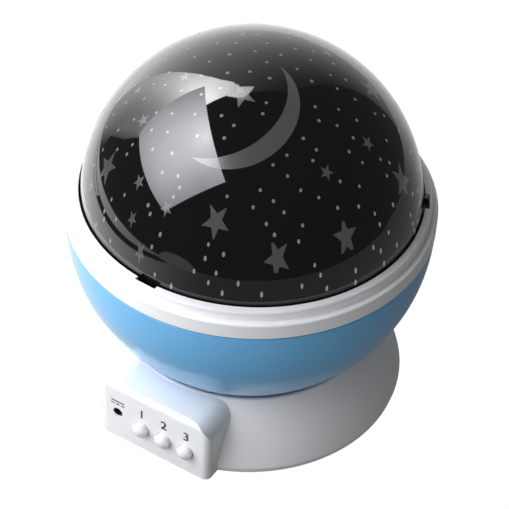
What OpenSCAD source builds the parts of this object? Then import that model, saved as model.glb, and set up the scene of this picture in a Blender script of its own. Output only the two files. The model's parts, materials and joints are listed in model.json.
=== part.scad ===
// Star night light projector: a patterned dome on a turning bowl, carried by a
// pedestal that holds the batteries, the buttons and the drive.
// Millimetres, +Z up. The origin is on the axis, on the surface the feet stand on.
// The controls face -Y.

/* [Head] */
// Outside diameter of the ring, the widest part of the head
head_d = 125; // [115:0.5:150]
// How much smaller the bowl's radius is than the ring's
bowl_inset = 0.2; // [0:0.05:0.6]
// Wall of the bowl
bowl_wall = 2; // [1.5:0.1:3]
// Radius of the bowl's flat underside
bowl_flat_r = 42.2; // [38:0.1:46]
// Height of the seam above the middle of the bowl's sphere
seam_rise = 1.6; // [0.5:0.1:5]
// Dark line between the bowl and the ring
seam_gap = 0.45; // [0.2:0.05:0.8]
// Rounding of the bowl's upper edge
bowl_round = 0.6; // [0.2:0.1:1]

/* [Ring] */
// Height of the ring's outer band
band_h = 5.7; // [5:0.1:9]
// Rounding on top of the outer band
band_round = 0.7; // [0.4:0.1:1.4]
// Width of the ledge between the band and the collar
collar_step = 2.1; // [1.2:0.1:2.6]
// Height of the collar above the band
collar_h = 3.7; // [3:0.1:5]
// Radial distance from the band in to the ring's lip
lip_inset = 4.7; // [4.4:0.1:6]
// Rounding of the lip's outer edge
lip_round = 0.7; // [0.3:0.1:1]
// Depth of the groove behind the lip
groove_depth = 1.4; // [1:0.1:1.6]
// Thickness of the lip over the groove
lip_t = 2.4; // [1.6:0.1:3]
// Thickness of the inner flange
flange_t = 2; // [1.4:0.1:3]
// Width of each notch in the lip
notch_w = 7.6; // [5:0.1:12]
// Direction of the first notch, from +X
notch_az = -92.5; // [-180:0.5:180]

/* [Dome] */
// Gap between the dome and the lip
lip_gap = 0.3; // [0.3:0.05:1.2]
// Height of the middle of the dome's sphere above the seam
dome_rise = 4.9; // [3.9:0.1:6]
// Wall of the dome
dome_wall = 1.6; // [1.2:0.1:2.4]
// Height of the dome's locking lugs
lug_h = 2.5; // [1.5:0.1:3]
// Turn from the notches to the locked place
lock_turn = 18; // [10:1:30]
// Thickness of the rubber gasket under the dome
gasket_t = 1; // [0.6:0.1:1.4]
// Thickness of the black layer inside the dome
mask_t = 0.4; // [0.3:0.05:0.8]

/* [Star pattern] */
// Number of round windows before those that meet a star are left out
dot_count = 370; // [20:10:420]
// Radius of a round window
dot_r = 0.5; // [0.4:0.05:0.8]
// Inner radius of a star as a share of its outer radius
star_waist = 0.4; // [0.3:0.02:0.6]
// Radius of the crescent's outer edge
moon_r = 19.3; // [12:0.1:22]
// Radius of the crescent's inner edge
moon_cut_r = 20.4; // [14:0.1:24]
// Sideways distance between the middles of those two edges
moon_shift = 6.5; // [5:0.1:10]

/* [Base] */
// Largest radius of the pedestal, just above the floor
foot_r = 56; // [52:0.5:68]
// Radius of the bulge of the pedestal's wall
wall_bow = 60; // [50:1:120]
// Wall of the pedestal
base_wall = 2.2; // [1.6:0.1:3]
// Width of the rim round the bowl
rim_t = 0.9; // [0.7:0.1:1.6]
// Gap between the rim and the bowl
rim_gap = 0.7; // [0.5:0.05:1.5]
// Height of the rim above the deck
rim_rise = 1.9; // [1:0.1:4]
// Thickness of the deck under the bowl
deck_t = 2; // [1.6:0.1:3]

/* [Control block] */
// Width of the block
block_w = 44; // [42:0.5:56]
// How far its face stands out beyond the foot of the pedestal
block_out = 1.4; // [0:0.1:6]
// Wall of the block
block_wall = 2; // [1.5:0.1:3]
// Rounding of its two top corners, seen from the front
block_corner = 7; // [3:0.5:9]
// Rounding of its upright edges
block_edge = 2.5; // [1:0.1:4]
// Rounding of its top front edge
block_brow = 2; // [1:0.1:4]

/* [Controls] */
// Diameter of a button
button_d = 5.6; // [4:0.1:6.5]
// How far a button stands out
button_proud = 2.8; // [1:0.1:3.2]
// Distance between buttons
button_pitch = 9; // [8.2:0.1:9.6]
// Sideways place of the middle button
button_x = 4; // [3.4:0.1:5.2]
// Height of the buttons above the floor
button_z = 10.5; // [9:0.1:11]
// How far a button travels
button_travel = 0.6; // [0.3:0.1:1]
// Sideways place of the power socket
jack_x = -14.9; // [-14.9:0.1:-12.5]
// Height of the power socket
jack_z = 12.6; // [8:0.1:14]
// Bore of the power socket
jack_bore_d = 3.6; // [3.4:0.1:4]

/* [Batteries and cover] */
// Cell diameter
cell_d = 10.5; // [10.5:0.5:14.5]
// Cell length
cell_l = 44.5; // [44:0.5:51]
// Number of cells side by side
cells = 4; // [3:1:4]
// Length of a contact spring with a cell in place
spring_l = 5; // [4:0.5:7]
// Wall of the battery bay
bay_wall = 1.5; // [1.2:0.1:2.5]
// Thickness of the bottom cover
cover_t = 2.2; // [2:0.1:3]
// Thickness of the battery door
door_t = 1.8; // [1.4:0.1:1.8]
// How far the rubber feet stand out of the cover
foot_proud = 0.6; // [0.4:0.1:2]

/* [Drive] */
// Gear module
gear_module = 1; // [0.8:0.05:1.1]
// Teeth of the large gear under the bowl
ring_teeth = 56; // [48:4:60]
// Teeth of the pinion
pinion_teeth = 14; // [12:1:16]
// Thickness of the gears
gear_h = 3.2; // [2:0.1:4]
// Radius of the geared motor
motor_r = 9; // [7:0.5:9.5]
// Radius of the motor's shaft
shaft_r = 1.5; // [1:0.1:2]

/* [Lamp] */
// Outside radius of the fixed post
post_r = 7.5; // [6.5:0.1:9]
// Wall of the post
post_wall = 2; // [1.2:0.1:2.5]
// Wall of the bowl's hub, round the post
hub_wall = 4.5; // [4:0.1:6]
// Height of the hub inside the bowl
hub_h = 12; // [6:0.5:20]
// Radius of a light-emitting diode
led_r = 2.5; // [1.5:0.1:2.5]
// Height of a light-emitting diode
led_h = 8.6; // [5:0.1:10]
// Radius of the lamp board
led_board_r = 9; // [8.5:0.1:10]

/* [Hidden] */

$fn = 96;
eps = 0.01;
run_fit = 0.08;      // radial clearance of a shaft in its bore
free_gap = 0.4;      // clearance between parts that pass each other
seat_gap = 0.1;      // gap between parts that rest on each other and turn

// Colours
white_abs = "#F2F2F2";
blue_abs = "#5FA8DC";
black_pc = "#101010";
board_green = "#2E7D4F";
steel = "#B9BCC0";
black_abs = "#1C1C1C";

// Heights of the stack inside the pedestal, from the floor up
cover_top = foot_proud + cover_t;
cell_gap = 0.4;
bay_floor = foot_proud + door_t + 0.3;
bay_roof = bay_floor + cell_d + cell_gap;
bay_roof_t = 1.6;
bay_top = bay_roof + bay_roof_t;
post_flange_t = 2;
gear_z = bay_top + post_flange_t + 0.5;
gear_top = gear_z + gear_h;
deck_z = gear_top + free_gap;
deck_top = deck_z + deck_t;
washer_t = 0.9;
bowl_z = deck_top + washer_t + seat_gap;

// Bowl and ring
head_r = head_d / 2;
bowl_r = head_r - bowl_inset;
bowl_cz = bowl_z + sqrt(pow(bowl_r, 2) - pow(bowl_flat_r, 2));
seam_z = bowl_cz + seam_rise;
band_top = seam_z + band_h;
lip_top = band_top + collar_h;
lip_r = head_r - lip_inset;
lip_edge = 0.15;                // bevel of the lip's inner edge
collar_r = head_r - collar_step;
groove_r = lip_r + groove_depth;
groove_top = lip_top - lip_t;
seat_z = seam_z + 1.1;          // top of the inner flange
flange_z = seat_z - flange_t;
spigot_h = 2.7;                 // part of the ring that plugs into the bowl
spigot_t = 1.6;
bowl_in_r = bowl_r - bowl_wall;
spigot_r = sqrt(pow(bowl_in_r, 2) - pow(seam_rise, 2)) - 0.2;
boss_r = 3;

// Dome
dome_r = lip_r - lip_gap;
dome_cz = seam_z + dome_rise;
skirt_z = seat_z + gasket_t + seat_gap;
lug_top = groove_top - 0.3;
lug_r = groove_r - 0.3;
lug_w = notch_w - 0.6;
mask_gap = 0.1;
mask_r = dome_r - dome_wall - mask_gap;
mask_in_r = mask_r - mask_t;
ledge_t = mask_t + 0.2;         // step inside the dome that carries the mask
plate_r = mask_in_r - 1.5;
plate_screw_r = plate_r - 3;
plate_screw_az = [30, 150, 270];
flange_in_r = plate_screw_r - boss_r;

// Pedestal: its wall is one arc from above the foot to the rim
rim_z = deck_top + rim_rise;
rim_in_r = sqrt(pow(bowl_r + rim_gap, 2) - pow(bowl_cz - rim_z, 2));
rim_out_r = rim_in_r + rim_t;
bow_z = 3;                      // height at which the wall is widest
chord = [rim_out_r - foot_r, rim_z - bow_z];
chord_l = norm(chord);
bow_drop = sqrt(pow(wall_bow, 2) - pow(chord_l / 2, 2));
bow_c = [foot_r + chord[0] / 2 - bow_drop * chord[1] / chord_l,
    bow_z + chord[1] / 2 + bow_drop * chord[0] / chord_l];
block_top = rim_z - 0.2;
block_root = 30;                // distance from the axis at which the block starts
block_reach = foot_r + block_out;
block_l = block_reach - block_root;

function wall_r(z) = bow_c[0] + sqrt(pow(wall_bow, 2) - pow(z - bow_c[1], 2));

// Battery bay
bay_l = cell_l + spring_l + 1.5;
cell_pitch = cell_d + 0.5;
bay_w = cells * cell_pitch + 0.8;
contact_t = 0.4;
contact_z = bay_floor + cell_d / 2;
door_ledge = 1.2;
door_gap = 0.3;
door_l = bay_l + 2 * (door_ledge - door_gap);
door_w = bay_w + 2 * (door_ledge - door_gap);
hinge_r = door_t / 2;
hinge_y = door_w / 2 - hinge_r;
hinge_z = foot_proud + hinge_r;
hinge_pin_r = 0.6;
hinge_pin_l = 1.5;
tongue_w = 9;
tongue_l = 7;
door_screw_y = -door_w / 2 - 3.7;

// Fasteners
screw_r = 1.1;
small_screw_r = 0.9;
thread_gap = 0.05;              // between a screw and the hole it bites into
through_gap = 0.2;              // between a screw and a hole it passes through
screw_head_r = 2.2;
flush_head_r = 1.8;
case_screw_r = foot_r - 9.5;
case_boss_r = 3.2;
case_boss_h = 12;
foot_pad_r = 4.5;
foot_pad_t = 1.2;
foot_ring_r = 40.5;
foot_az = [70, 110, 250, 290];

// Control board, upright behind the face of the block
face_y = -block_reach;
wall_y = face_y + block_wall;
board_t = 1.6;
board_y = wall_y + 6.8;         // front of the board
board_w = block_w - 2 * block_wall - 1.6;
board_z = cover_top + 0.5;
board_top = deck_z - 0.8;
switch_w = 6;
switch_d = 3.4;
stem_r = 1.7;
stem_in = 1;                    // how far a stem enters its switch
stem_out = 1;                   // how far it stands out
cap_flange_t = 0.8;
cap_flange_r = button_d / 2 + 0.9;
button_gap = 0.2;               // round the button, in the face
jack_gap = 0.1;                 // round the socket's bore, in the face
jack_w = 6;
jack_h = 6;
jack_l = 10.8;
jack_back = 1.3;                // solid back of the socket
jack_pin_r = 0.65;
jack_skin = 0.5;                // wall left in front of the socket's nose
jack_nose_r = 2.9;
jack_nose_l = block_wall - jack_skin;

// Drive
hub_r = post_r + hub_wall;
gear_add = 0.85 * gear_module;  // height of a tooth above its pitch circle
gear_ded = 1.1 * gear_module;
backlash = 0.2;
pressure = 20;
ring_pitch_r = gear_module * ring_teeth / 2;
pinion_pitch_r = gear_module * pinion_teeth / 2;
pinion_x = ring_pitch_r + pinion_pitch_r;
motor_x = pinion_x + 2;
gearbox_top = gear_z - 0.7;
gearbox_h = 6.6;
ear_y = motor_r + 3.5;
ear_t = 1.6;
ear_r = 3;
gear_screw_r = (hub_r + post_r) / 2 + 0.1;  // circle of the large gear's screws
gear_screw_az = [90, 210, 330];

// Lamp
post_top = seat_z + 0.2;
post_flange_r = 13.5;
post_screw_x = 10;
holder_t = 1.6;
lamp_board_t = 1.2;
lamp_plate_t = 1.6;
led_ring_r = 4.6;
lamp_hole_r = led_board_r + 2;
wire_r = 0.6;
wire_x = 1.2;
wire_bend = 3;
wire_z = bay_top + 1;

// Stars: direction from +X, angle from the top, outer radius, turn in its place
big_stars = [[-75.5, 16.5, 4.8, 38], [-72, 58, 4.5, 36], [-50, 68.5, 4.2, 25],
    [-25, 66.5, 4.4, -2], [9, 63, 4.7, 34], [-125.5, 62, 4.3, 12], [37.5, 40, 4.8, -9],
    [100, 55, 4.4, 20], [150, 60, 4.5, 0], [-162, 66, 4.3, 30], [68, 68, 4.4, 10],
    [125, 36, 4.6, -15]];
small_stars = [[-25.5, 45, 2.3, 35], [2.5, 44.5, 2.5, 2], [60, 26, 2.6, 19],
    [-138, 24, 2.4, 0], [-148.5, 41.5, 2.1, 3], [-126, 42, 2.3, -5],
    [-107, 56.5, 2.1, -23], [-91.5, 59, 2.1, 37], [-103.5, 68, 1.9, -24],
    [-97, 77, 2.1, -31], [175, 34, 2, 12], [89, 23.5, 2.4, -17], [-130, 73, 2, 7],
    [25, 75, 2.2, 17], [85, 44, 2.2, 30], [120, 70, 2.1, 5], [165, 47, 2, 20],
    [-178, 74, 1.9, 33], [140, 17, 2, 8], [48, 58, 2, -20]];
stars = concat(big_stars, small_stars);
moon_c = [3.4, -17.8];
moon_back = 170;                // direction in which the inner edge is shifted
golden = 137.508;
dot_stray = [12, 2];            // how far dots stray from an even spread, in degrees
dot_reach = 0.965;              // share of the dome's height that the dots cover
dot_low = 84;                   // angle from the top of the lowest dot
star_clear = 0.8;               // blank space round a star
moon_clear = 2;                 // blank space round the crescent
moon_thick = 9;                 // the crescent lies within this much of its outer edge

// A repeatable number from 0 to 1 for a whole number
function scatter(i, k) = let (s = sin(i * 78.233 + k * 37.719) * 437.585) s - floor(s);

// How much a window is drawn out down the side of the dome, at an angle from the top
function drawn(pol) = 1 + 1.4 * pow(pol / 80, 4);

function on_dome(az, pol) = [sin(pol) * cos(az), sin(pol) * sin(az), cos(pol)];

function angle_between(a, b) = acos(min(1, a * b));

function dot_place(i) = [i * golden + dot_stray[0] * (scatter(i, 1) - 0.5),
    acos(1 - dot_reach * (i + 0.5) / dot_count) + dot_stray[1] * (scatter(i, 2) - 0.5)];

// True where a dot at this place would meet a star or the crescent
function meets_star(place) = let (p = on_dome(place[0], place[1]))
    max([for (s = stars) (angle_between(p, on_dome(s[0], s[1])) * PI / 180 * mask_r
        < (s[2] + dot_r) * (1 + 0.5 * (drawn(s[1]) - 1)) + star_clear) ? 1 : 0]) == 1;

function meets_moon(place) = let (p = mask_r * on_dome(place[0], place[1]),
    q = [p[0], p[1]])
    norm(q - moon_c) < moon_r + moon_clear && norm(q - moon_c) > moon_r - moon_thick
    && norm(q - moon_c - moon_shift * [cos(moon_back), sin(moon_back)])
        > moon_cut_r - moon_clear;

dots = [for (i = [0 : dot_count - 1]) let (place = dot_place(i))
    if (place[1] < dot_low && !meets_star(place) && !meets_moon(place)) place];

// ---- Shared shapes ----

// A slice of the upper or lower part of the profile plane
module band(z0, z1, r = 200) {
    translate([0, z0]) square([r, z1 - z0]);
}

module tube(r_out, r_in, h) {
    difference() {
        cylinder(r = r_out, h = h);
        translate([0, 0, -eps]) cylinder(r = r_in, h = h + 2 * eps);
    }
}

// A block centred on X and Y that stands on its place
module slab(size) {
    translate([-size[0] / 2, -size[1] / 2, 0]) cube(size);
}

// A screw that points up: pan head below, shank above
module pan_screw(l, r = screw_r, head_r = screw_head_r, head_h = 1.2) {
    cylinder(r = head_r, h = head_h);
    cylinder(r = r, h = head_h + l);
}

// A countersunk screw that points up, head at its place
module flush_screw(l, r, head_r) {
    rotate_extrude() polygon([[0, 0], [head_r, 0], [r, head_r - r], [r, l], [0, l]]);
}

// Involute gear outline
function inv_deg(a) = tan(a) * 180 / PI - a;
function half_tooth(teeth, r) = let (rp = gear_module * teeth / 2,
    rb = rp * cos(pressure), a = r > rb ? acos(rb / r) : 0)
    (gear_module * PI / 4 - backlash / 4) / rp * 180 / PI
        + inv_deg(pressure) - inv_deg(a);
function flank_radii(teeth) = let (rp = gear_module * teeth / 2,
    r0 = max(rp - gear_ded, rp * cos(pressure)))
    [for (k = [0 : 4]) r0 + (rp + gear_add - r0) * k / 4];
function polar(r, a) = [r * cos(a), r * sin(a)];

module gear_outline(teeth) {
    root_r = gear_module * teeth / 2 - gear_ded;
    radii = flank_radii(teeth);
    polygon([for (t = [0 : teeth - 1], side = [-1, 1]) let (mid = t * 360 / teeth)
        each concat(
            side < 0 ? [polar(root_r, mid - half_tooth(teeth, radii[0]))] : [],
            [for (k = [0 : 4]) let (r = radii[side < 0 ? k : 4 - k])
                polar(r, mid + side * half_tooth(teeth, r))],
            side > 0 ? [polar(root_r, mid + half_tooth(teeth, radii[0]))] : [])]);
}

// ---- Pedestal ----

module wall_disc(inset) {
    translate(bow_c) circle(r = wall_bow - inset, $fn = 180);
}

module pedestal_outside() {
    rotate_extrude() intersection() {
        wall_disc(0);
        band(foot_proud, rim_z);
        polygon([[0, 0], [foot_r - 0.6, 0], [foot_r, bow_z - 0.6],
            [foot_r + 1, rim_z + 1], [0, rim_z + 1]]);
    }
}

module pedestal_inside() {
    rotate_extrude() intersection() {
        wall_disc(base_wall);
        band(0, deck_z, foot_r - base_wall);
    }
}

module rounded_square(w, h, r) {
    translate([-w / 2, 0]) square([w, h - r]);
    translate([-w / 2 + r, 0]) square([w - 2 * r, h]);
    for (side = [-1, 1]) translate([side * (w / 2 - r), h - r]) circle(r = r);
}

module block_outside() {
    intersection() {
        translate([0, -block_root, 0]) rotate([90, 0, 0]) linear_extrude(block_l)
            translate([0, foot_proud])
                rounded_square(block_w, block_top - foot_proud, block_corner);
        translate([0, -block_root, foot_proud]) mirror([0, 1, 0])
            linear_extrude(block_top)
                rounded_square(block_w, block_l, block_edge);
        translate([-block_w / 2, 0, 0]) rotate([90, 0, 90]) linear_extrude(block_w)
            union() {
                translate([face_y, 0]) square([block_l, block_top - block_brow]);
                translate([face_y + block_brow, 0])
                    square([block_l - block_brow, block_top]);
                translate([face_y + block_brow, block_top - block_brow])
                    circle(r = block_brow);
            }
    }
}

module block_inside() {
    inner_w = block_w - 2 * block_wall;
    roof_w = inner_w - 6;
    translate([-inner_w / 2, wall_y, 0])
        cube([inner_w, block_l, deck_z]);
    // the roof of the block is raised in front of the deck
    translate([-roof_w / 2, wall_y, 0])
        cube([roof_w, board_y - wall_y - 1, block_top - block_wall - 0.6]);
}

// Slots that hold the control board by its two upright edges
module board_guides() {
    guide_t = 1.4;
    guide_gap = 0.15;
    guide_in = board_w / 2 - 1.2;
    guide_out = block_w / 2 - block_wall + 0.5;
    guide_z = board_z + 1;
    for (side = [-1, 1], y = [board_y - guide_t - guide_gap, board_y + board_t + guide_gap])
        translate([side > 0 ? guide_in : -guide_out, y, guide_z])
            cube([guide_out - guide_in, guide_t, deck_z - guide_z + 0.5]);
}

module case_bosses() {
    for (a = [45 : 90 : 315]) rotate([0, 0, a]) translate([case_screw_r, 0, cover_top])
        cylinder(r = case_boss_r, h = deck_z - cover_top + 0.5);
}

module motor_bosses() {
    for (side = [-1, 1]) translate([motor_x, side * ear_y, gearbox_top])
        cylinder(r = ear_r - 0.2, h = deck_z - gearbox_top + 0.5);
}

module base_shell() {
    color(white_abs) difference() {
        union() {
            difference() {
                union() {
                    pedestal_outside();
                    block_outside();
                }
                pedestal_inside();
                block_inside();
            }
            intersection() {
                union() {
                    case_bosses();
                    board_guides();
                    motor_bosses();
                }
                union() {
                    pedestal_outside();
                    block_outside();
                }
            }
        }
        // the dish that the bowl turns in
        intersection() {
            translate([0, 0, bowl_cz]) sphere(r = bowl_r + rim_gap, $fn = 180);
            translate([0, 0, deck_top]) cylinder(r = head_r, h = head_r);
        }
        // the hub passes through the deck
        translate([0, 0, deck_z - 1]) cylinder(r = hub_r + free_gap, h = deck_t + 2);
        for (a = [45 : 90 : 315]) rotate([0, 0, a])
            translate([case_screw_r, 0, cover_top - 1])
                cylinder(r = screw_r + thread_gap, h = case_boss_h + 1);
        for (side = [-1, 1]) translate([motor_x, side * ear_y, gearbox_top - 1])
            cylinder(r = small_screw_r + thread_gap, h = 4);
        for (k = [-1 : 1]) translate([button_x + k * button_pitch, wall_y + 1, button_z])
            rotate([90, 0, 0]) cylinder(r = button_d / 2 + button_gap, h = block_wall + 2);
        translate([jack_x, wall_y + 1, jack_z]) rotate([90, 0, 0]) {
            cylinder(r = jack_bore_d / 2 + jack_gap, h = block_wall + 2);
            cylinder(r = jack_nose_r + 0.15, h = jack_nose_l + 1);
        }
    }
}

// ---- Bottom cover and battery bay ----

module cover_outline() {
    circle(r = foot_r - base_wall - 0.5);
    lip_w = block_w - 2 * block_wall - 0.6;
    translate([-lip_w / 2, wall_y + 0.3]) square([lip_w, 20]);
}

module bottom_cover() {
    bay_low = foot_proud + 0.5;
    color(white_abs) difference() {
        union() {
            translate([0, 0, foot_proud]) linear_extrude(cover_t) cover_outline();
            translate([0, 0, bay_low])
                slab([bay_l + 2 * bay_wall, bay_w + 2 * bay_wall, bay_top - bay_low]);
            translate([0, door_screw_y, foot_proud]) cylinder(r = 2.6, h = cover_t + 4);
        }
        // room for the cells
        translate([0, 0, foot_proud - 1]) slab([bay_l, bay_w, bay_roof - foot_proud + 1]);
        // rebate for the door and its tongue, and holes for its hinge pins
        translate([0, 0, foot_proud - 1])
            slab([bay_l + 2 * door_ledge, bay_w + 2 * door_ledge, door_t + seat_gap + 1]);
        translate([0, door_screw_y + 1, foot_proud - 1])
            slab([tongue_w + 2 * door_gap, tongue_l + 2 * door_gap, door_t + seat_gap + 1]);
        translate([0, hinge_y, hinge_z]) rotate([0, 90, 0])
            cylinder(r = hinge_pin_r + run_fit, center = true,
                h = door_l + 2 * hinge_pin_l + 0.6);
        translate([0, door_screw_y, 0]) cylinder(r = screw_r + 0.3, h = cover_t + 3.5);
        for (a = [45 : 90 : 315]) rotate([0, 0, a]) translate([case_screw_r, 0, 0]) {
            cylinder(r = screw_r + through_gap, h = cover_top + 1);
            cylinder(r = screw_head_r + 0.3, h = foot_proud + 1.2);
        }
        for (a = foot_az) rotate([0, 0, a]) translate([foot_ring_r, 0, 0])
            cylinder(r = foot_pad_r + 0.2, h = foot_pad_t);
        for (side = [-1, 1]) translate([side * post_screw_x, 0, bay_top - 1.4])
            cylinder(r = small_screw_r + thread_gap, h = 3);
    }
}

module battery_door() {
    grooves = 4;
    groove_pitch = 2;
    color(white_abs) difference() {
        union() {
            translate([-door_l / 2, -door_w / 2, foot_proud])
                cube([door_l, door_w - hinge_r, door_t]);
            translate([0, hinge_y, hinge_z]) rotate([0, 90, 0]) {
                cylinder(r = hinge_r, h = door_l, center = true);
                cylinder(r = hinge_pin_r, h = door_l + 2 * hinge_pin_l, center = true);
            }
            translate([0, door_screw_y + 1, foot_proud]) slab([tongue_w, tongue_l, door_t]);
        }
        translate([0, door_screw_y, 0]) cylinder(r = screw_r + 0.1, h = 5);
        translate([0, door_screw_y, 0]) cylinder(r = screw_head_r + 0.2, h = foot_proud + 0.9);
        // finger grooves beside the screw
        for (side = [-1, 1], k = [0 : grooves - 1])
            translate([side * 14, -door_w / 2 + 4 + groove_pitch * k, 0])
                slab([12, 0.8, foot_proud + 0.4]);
    }
}

module door_screw() {
    color(steel) translate([0, door_screw_y, foot_proud + 0.1])
        pan_screw(4.2, head_h = 0.8);
}

module rubber_feet() {
    color("#4A4A4A") for (a = foot_az) rotate([0, 0, a]) translate([foot_ring_r, 0, 0])
        cylinder(r = foot_pad_r, h = foot_pad_t);
}

module case_screws() {
    color(steel) for (a = [45 : 90 : 315]) rotate([0, 0, a])
        translate([case_screw_r, 0, foot_proud + 0.1]) pan_screw(9, head_h = 1.1);
}

// Cells lie along X and point alternate ways
function cell_y(k) = (k - (cells - 1) / 2) * cell_pitch;
function spring_side(k) = k % 2 == 0 ? -1 : 1;

module contact_leaf(x_side) {
    translate([x_side > 0 ? bay_l / 2 - contact_t : -bay_l / 2, -4, bay_floor + 0.6])
        cube([contact_t, 8, cell_d - 1]);
}

// A conical spring of round wire, small end towards +X
module coil_spring(r0, r1, l, wire, turns) {
    steps = 18 * turns;
    sides = 6;
    rings = [for (i = [0 : steps]) let (t = i / steps, a = 360 * turns * t,
        r = r0 + (r1 - r0) * t, c = [wire + (l - 2 * wire) * t, r * cos(a), r * sin(a)])
        [for (j = [0 : sides - 1]) let (b = 360 * j / sides)
            c + wire * [sin(b), cos(b) * cos(a), cos(b) * sin(a)]]];
    points = [for (ring = rings) each ring];
    walls = [for (i = [0 : steps - 1], j = [0 : sides - 1]) let (n = (j + 1) % sides)
        each [[i * sides + j, (i + 1) * sides + n, (i + 1) * sides + j],
            [i * sides + j, i * sides + n, (i + 1) * sides + n]]];
    ends = [[for (j = [sides - 1 : -1 : 0]) j],
        [for (j = [0 : sides - 1]) steps * sides + j]];
    polyhedron(points, concat(walls, ends));
}

module contact_springs() {
    root_r = 3.4;
    tip_r = 1.6;
    wire = 0.3;
    turns = 3.5;
    color(steel) for (k = [0 : cells - 1]) let (side = spring_side(k))
        translate([0, cell_y(k), 0]) {
            contact_leaf(side);
            translate([side * (bay_l / 2 - contact_t + 0.1), 0, contact_z])
                rotate([0, 0, side > 0 ? 180 : 0])
                    coil_spring(root_r, tip_r, spring_l, wire, turns);
        }
}

module contact_plates() {
    color(steel) for (k = [0 : cells - 1]) let (side = -spring_side(k))
        translate([0, cell_y(k), 0]) {
            contact_leaf(side);
            translate([side * (bay_l / 2 - contact_t - 0.3), 0, contact_z])
                rotate([0, 90, 0]) cylinder(r = 2.4, h = 0.7, center = true);
        }
}

// ---- Controls ----

module control_board() {
    color(board_green) difference() {
        translate([-board_w / 2, board_y, board_z])
            cube([board_w, board_t, board_top - board_z]);
        translate([jack_x - jack_w / 2 - 0.2, board_y - 1, jack_z - jack_h / 2 - 0.2])
            cube([jack_w + 0.4, board_t + 2, jack_h + 0.4]);
    }
}

module at_buttons(k) {
    translate([button_x + (k - 2) * button_pitch, 0, button_z]) children();
}

module tact_switches() {
    color(black_abs) for (k = [1 : 3]) at_buttons(k) difference() {
        translate([-switch_w / 2, board_y - switch_d, -switch_w / 2])
            cube([switch_w, switch_d, switch_w]);
        translate([0, board_y - switch_d + stem_in + button_travel + 0.3, 0])
            rotate([90, 0, 0]) cylinder(r = stem_r + run_fit, h = 6);
    }
}

module switch_stem(k) {
    color(black_abs) at_buttons(k)
        translate([0, board_y - switch_d + stem_in, 0]) rotate([90, 0, 0])
            cylinder(r = stem_r, h = stem_in + stem_out);
}

module button(k) {
    tip_y = face_y - button_proud;
    rear_y = board_y - switch_d - stem_out;
    flange_y = wall_y + 0.2;
    crown_r = 0.7 * button_d;
    crown_drop = crown_r - sqrt(pow(crown_r, 2) - pow(button_d / 2, 2));
    color(white_abs) at_buttons(k) rotate([90, 0, 0]) {
        translate([0, 0, -flange_y - cap_flange_t]) {
            cylinder(r = cap_flange_r, h = cap_flange_t);
            cylinder(r = button_d / 2, h = cap_flange_t + flange_y - tip_y - crown_drop);
        }
        intersection() {
            translate([0, 0, -tip_y - crown_r]) sphere(r = crown_r);
            translate([0, 0, -tip_y - crown_drop - 1]) cylinder(r = button_d / 2, h = 3);
        }
        translate([0, 0, -rear_y]) cylinder(r = 1.5, h = rear_y - flange_y - eps);
    }
}

module control_chip() {
    chip = [5, 1.5, 4];
    color(black_abs) translate([8 - chip[0] / 2, board_y + board_t, 12 - chip[2] / 2])
        cube(chip);
}

module capacitor() {
    color("#24407A") translate([-3, board_y + board_t, 8]) rotate([-90, 0, 0])
        cylinder(r = 2.5, h = 6);
}

module dc_jack() {
    color(black_abs) translate([jack_x, wall_y + seat_gap, jack_z]) difference() {
        union() {
            translate([-jack_w / 2, 0, -jack_h / 2]) cube([jack_w, jack_l, jack_h]);
            // round nose that enters the wall of the block
            translate([0, 1, 0]) rotate([90, 0, 0])
                cylinder(r = jack_nose_r, h = jack_nose_l + 1);
        }
        translate([0, jack_l - jack_back, 0]) rotate([90, 0, 0])
            cylinder(r = jack_bore_d / 2, h = jack_l + jack_nose_l);
        translate([0, jack_l + 1, 0]) rotate([90, 0, 0])
            cylinder(r = jack_pin_r, h = jack_l);
    }
}

module dc_jack_pin() {
    color(steel) translate([jack_x, wall_y + seat_gap + jack_l + 1, jack_z])
        rotate([90, 0, 0]) cylinder(r = jack_pin_r, h = jack_l + jack_nose_l - 0.6);
}

// ---- Drive ----

module gearbox() {
    color(white_abs) difference() {
        union() {
            translate([motor_x, 0, gearbox_top - gearbox_h])
                cylinder(r = motor_r, h = gearbox_h);
            for (side = [-1, 1]) {
                translate([motor_x, side * ear_y, gearbox_top - ear_t])
                    cylinder(r = ear_r, h = ear_t);
                translate([motor_x, side * (ear_y + 2) / 2, gearbox_top - ear_t])
                    translate([-ear_r, -(ear_y - 2) / 2, 0])
                        cube([2 * ear_r, ear_y - 2, ear_t]);
            }
            translate([pinion_x, 0, gearbox_top]) cylinder(r = 3, h = 0.4);
        }
        translate([pinion_x, 0, gearbox_top - 4]) cylinder(r = shaft_r + run_fit, h = 8);
        for (side = [-1, 1]) translate([motor_x, side * ear_y, gearbox_top - 5])
            cylinder(r = small_screw_r + through_gap, h = 10);
    }
}

module motor_can() {
    can_z = cover_top + 0.3;
    color(steel) translate([motor_x, 0, can_z]) {
        cylinder(r = motor_r - 0.5, h = gearbox_top - gearbox_h - can_z);
    }
}

module motor_screws() {
    head_h = 1.2;
    color(steel) for (side = [-1, 1])
        translate([motor_x, side * ear_y, gearbox_top - ear_t - head_h])
            pan_screw(ear_t + 2.6, r = small_screw_r, head_h = head_h);
}

module motor_shaft() {
    color(steel) translate([pinion_x, 0, gearbox_top - 3.8])
        cylinder(r = shaft_r, h = gear_top - gearbox_top + 3.8);
}

module drive_pinion() {
    color("#E8E4D8") translate([pinion_x, 0, gear_z]) difference() {
        rotate([0, 0, 180 + 180 / pinion_teeth])
            linear_extrude(gear_h) gear_outline(pinion_teeth);
        translate([0, 0, -1]) cylinder(r = shaft_r, h = gear_h + 2);
    }
}

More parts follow.
